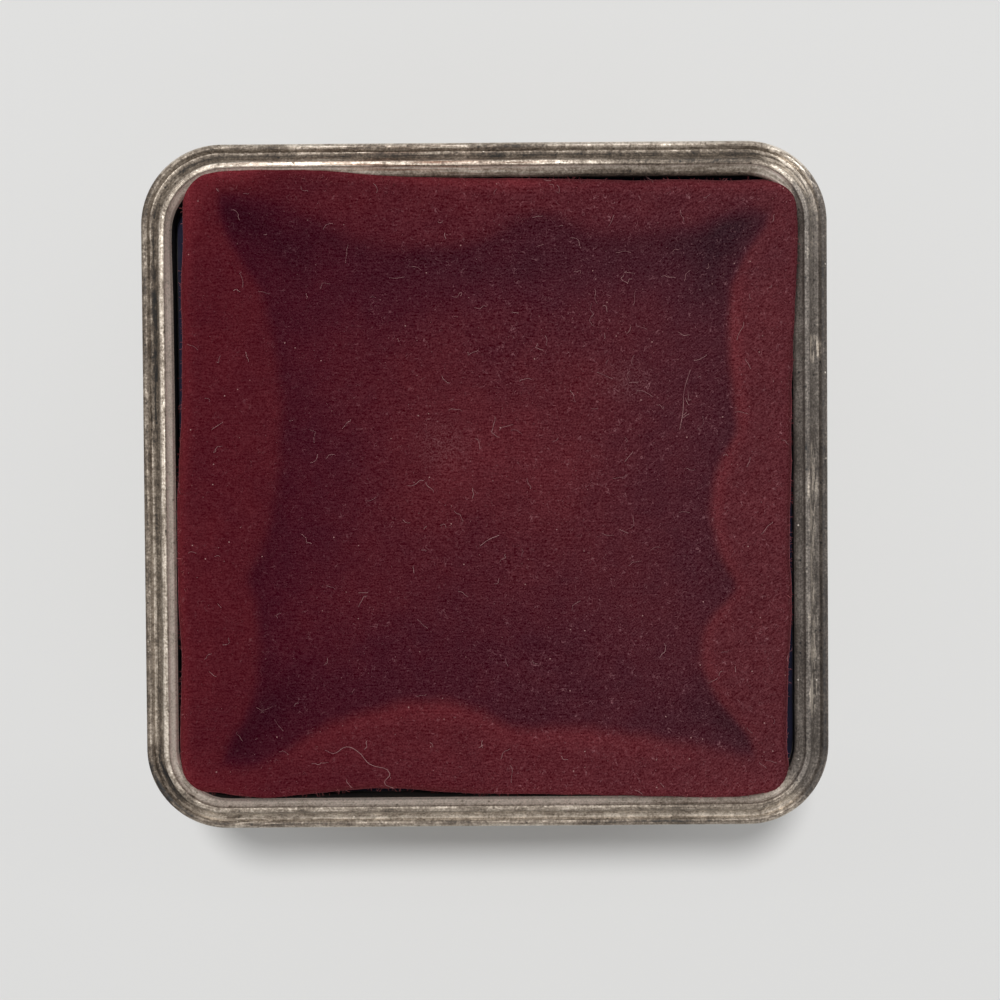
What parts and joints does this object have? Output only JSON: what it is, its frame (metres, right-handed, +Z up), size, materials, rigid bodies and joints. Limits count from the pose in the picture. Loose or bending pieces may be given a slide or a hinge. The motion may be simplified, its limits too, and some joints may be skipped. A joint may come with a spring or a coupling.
{
  "type": "keepsake box",
  "caption": "Small square keepsake box with a hinged lid. A velvet-covered panel sits in the lid's stepped silver-plated rim, and the inside is lined with the same velvet.",
  "frame": {"origin": "middle of the box on the plane that its foot stands on", "axes": "+Z up through the lid, -Y towards the front, +Y towards the hinge, +X to the right seen from the front"},
  "size_m": [0.0636, 0.0636, 0.036],
  "materials": {
    "silver_plate": "worn silver plate, tarnished dark in the hollows and rubbed bright on the ridge",
    "hinge_metal": "plated hinge leaves and knuckles, dulled",
    "pin_steel": "drawn wire",
    "red_velvet": "dark wine-red cotton velvet, short pile, a little lint",
    "grey_card": "grey board",
    "cotton_wadding": "thin cotton wadding"
  },
  "bodies": {
    "body": {"body_shell": "silver_plate", "foot_rim": "silver_plate", "mouth_lip": "silver_plate", "base_board": "grey_card", "base_wadding": "cotton_wadding", "base_velvet": "red_velvet", "floor_board": "grey_card", "floor_wadding": "cotton_wadding", "floor_velvet": "red_velvet", "side_card": "grey_card", "side_velvet": "red_velvet", "body_hinge_leaf": "hinge_metal", "hinge_pin": "pin_steel"},
    "lid": {"lid_rim": "silver_plate", "lid_plate": "silver_plate", "lid_top_board": "grey_card", "lid_top_wadding": "cotton_wadding", "lid_top_velvet": "red_velvet", "lid_lining_board": "grey_card", "lid_lining_wadding": "cotton_wadding", "lid_lining_velvet": "red_velvet", "lid_hinge_leaf": "hinge_metal"}
  },
  "joints": [
    {"name": "lid_hinge", "type": "hinge", "parent": "body", "child": "lid", "pos_m": [0, 0.0307, 0.02838], "axis": [-1, 0, 0], "range_deg": [0, 98]}
  ]
}
